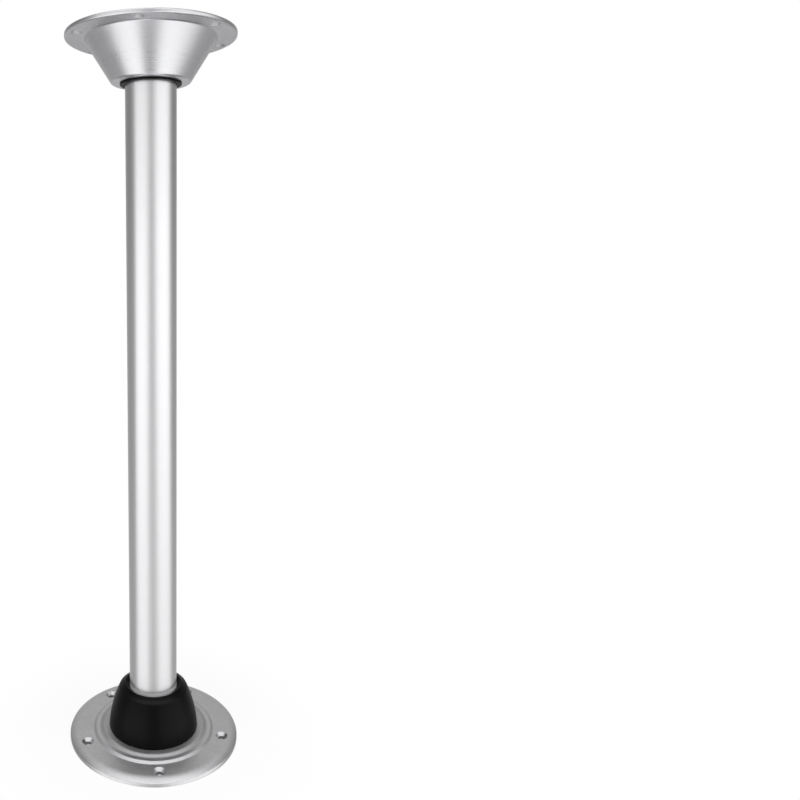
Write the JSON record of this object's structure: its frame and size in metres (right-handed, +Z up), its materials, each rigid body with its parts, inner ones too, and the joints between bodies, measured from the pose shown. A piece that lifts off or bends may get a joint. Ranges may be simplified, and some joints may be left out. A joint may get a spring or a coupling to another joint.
{
  "type": "removable table leg",
  "caption": "Removable pedestal leg for a table: floor plate, moulded socket boot, straight tube and a conical swivel mount for the table top.",
  "frame": {"origin": "middle of the floor plate's underside, on the leg's axis", "axes": "+Z up along the leg towards the table top, -Y towards the viewer of the picture, +X to the viewer's right"},
  "size_m": [0.164, 0.164, 0.66],
  "materials": {
    "cast_aluminium": "fine satin, cast and turned",
    "turned_aluminium": "satin with fine turning lines",
    "satin_tube": "satin anodised, drawn lines along the tube",
    "black_moulding": "semi-matt moulded black",
    "bush_plastic": "semi-matt moulded black",
    "plug_plastic": "matt moulded black",
    "screw_steel": "bright zinc"
  },
  "bodies": {
    "base": {"base_plate": "cast_aluminium", "boot": "black_moulding", "boot_screws": "screw_steel"},
    "leg": {"tube": "satin_tube", "tube_foot_plug": "plug_plastic", "tube_top_plug": "plug_plastic"},
    "bush": {"mount_bush": "bush_plastic"},
    "mount": {"table_mount": "turned_aluminium"}
  },
  "joints": [
    {"name": "leg_lift", "type": "slide", "parent": "base", "child": "leg", "axis": [0, 0, 1], "range_m": [0, 0.05]},
    {"name": "mount_lift", "type": "slide", "parent": "leg", "child": "bush", "axis": [0, 0, 1], "range_m": [0, 0.04]},
    {"name": "mount_swivel", "type": "hinge", "parent": "bush", "child": "mount", "pos_m": [0, 0, 0.6185], "axis": [0, 0, 1], "continuous": true}
  ]
}
